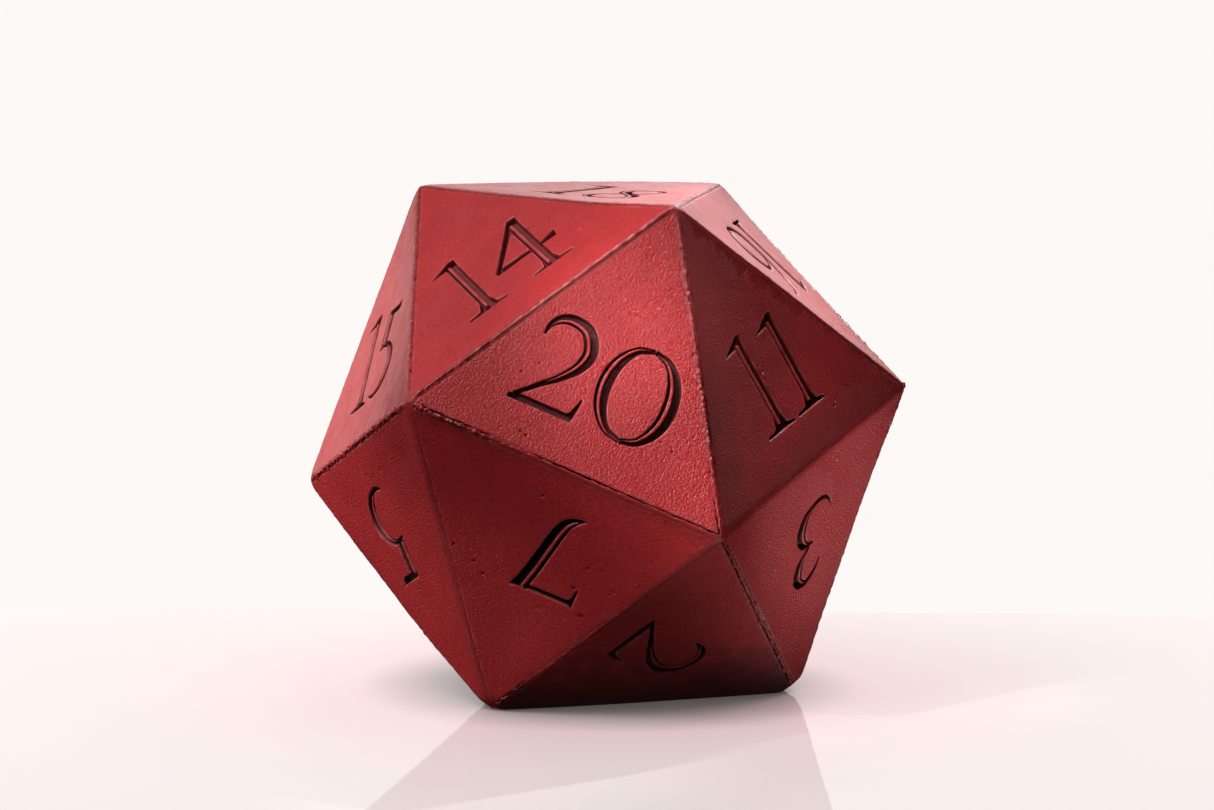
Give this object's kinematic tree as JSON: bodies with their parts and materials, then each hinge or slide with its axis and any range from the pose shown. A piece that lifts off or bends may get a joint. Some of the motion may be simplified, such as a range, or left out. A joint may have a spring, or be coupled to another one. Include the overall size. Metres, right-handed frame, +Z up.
{
  "type": "polyhedral die",
  "caption": "Large soft icosahedral die: engraved triangular rubber panels, mitred and glued round a foam core, with a raised glue line along every edge.",
  "frame": {"origin": "middle of the face the die stands on, the one numbered 4", "axes": "+Z up, square to the faces numbered 4 and 18; -Y towards the corner shared by 20, 11, 7, 2 and 3"},
  "size_m": [0.0856, 0.0974, 0.0801],
  "materials": {
    "red_rubber": "satin deep red rubber with a fine leathery grain, darker inside the engraved figures",
    "core_foam": "open matt foam rubber, never seen",
    "seam_glue": "rough dark red squeezed-out glue, satin"
  },
  "bodies": {
    "root": {"panel_1": "red_rubber", "panel_2": "red_rubber", "panel_3": "red_rubber", "panel_4": "red_rubber", "panel_5": "red_rubber", "panel_6": "red_rubber", "panel_7": "red_rubber", "panel_8": "red_rubber", "panel_9": "red_rubber", "panel_10": "red_rubber", "panel_11": "red_rubber", "panel_12": "red_rubber", "panel_13": "red_rubber", "panel_14": "red_rubber", "panel_15": "red_rubber", "panel_16": "red_rubber", "panel_17": "red_rubber", "panel_18": "red_rubber", "panel_19": "red_rubber", "panel_20": "red_rubber", "foam_core": "core_foam", "seam_bead_1_9": "seam_glue", "seam_bead_1_10": "seam_glue", "seam_bead_1_13": "seam_glue", "seam_bead_2_3": "seam_glue", "seam_bead_2_4": "seam_glue", "seam_bead_2_7": "seam_glue", "seam_bead_3_6": "seam_glue", "seam_bead_3_11": "seam_glue", "seam_bead_4_8": "seam_glue", "seam_bead_4_9": "seam_glue", "seam_bead_5_7": "seam_glue", "seam_bead_5_8": "seam_glue", "seam_bead_5_15": "seam_glue", "seam_bead_6_9": "seam_glue", "seam_bead_6_12": "seam_glue", "seam_bead_7_20": "seam_glue", "seam_bead_8_10": "seam_glue", "seam_bead_10_17": "seam_glue", "seam_bead_11_16": "seam_glue", "seam_bead_11_20": "seam_glue", "seam_bead_12_13": "seam_glue", "seam_bead_12_16": "seam_glue", "seam_bead_13_19": "seam_glue", "seam_bead_14_15": "seam_glue", "seam_bead_14_18": "seam_glue", "seam_bead_14_20": "seam_glue", "seam_bead_15_17": "seam_glue", "seam_bead_16_18": "seam_glue", "seam_bead_17_19": "seam_glue", "seam_bead_18_19": "seam_glue"}
  },
  "joints": []
}
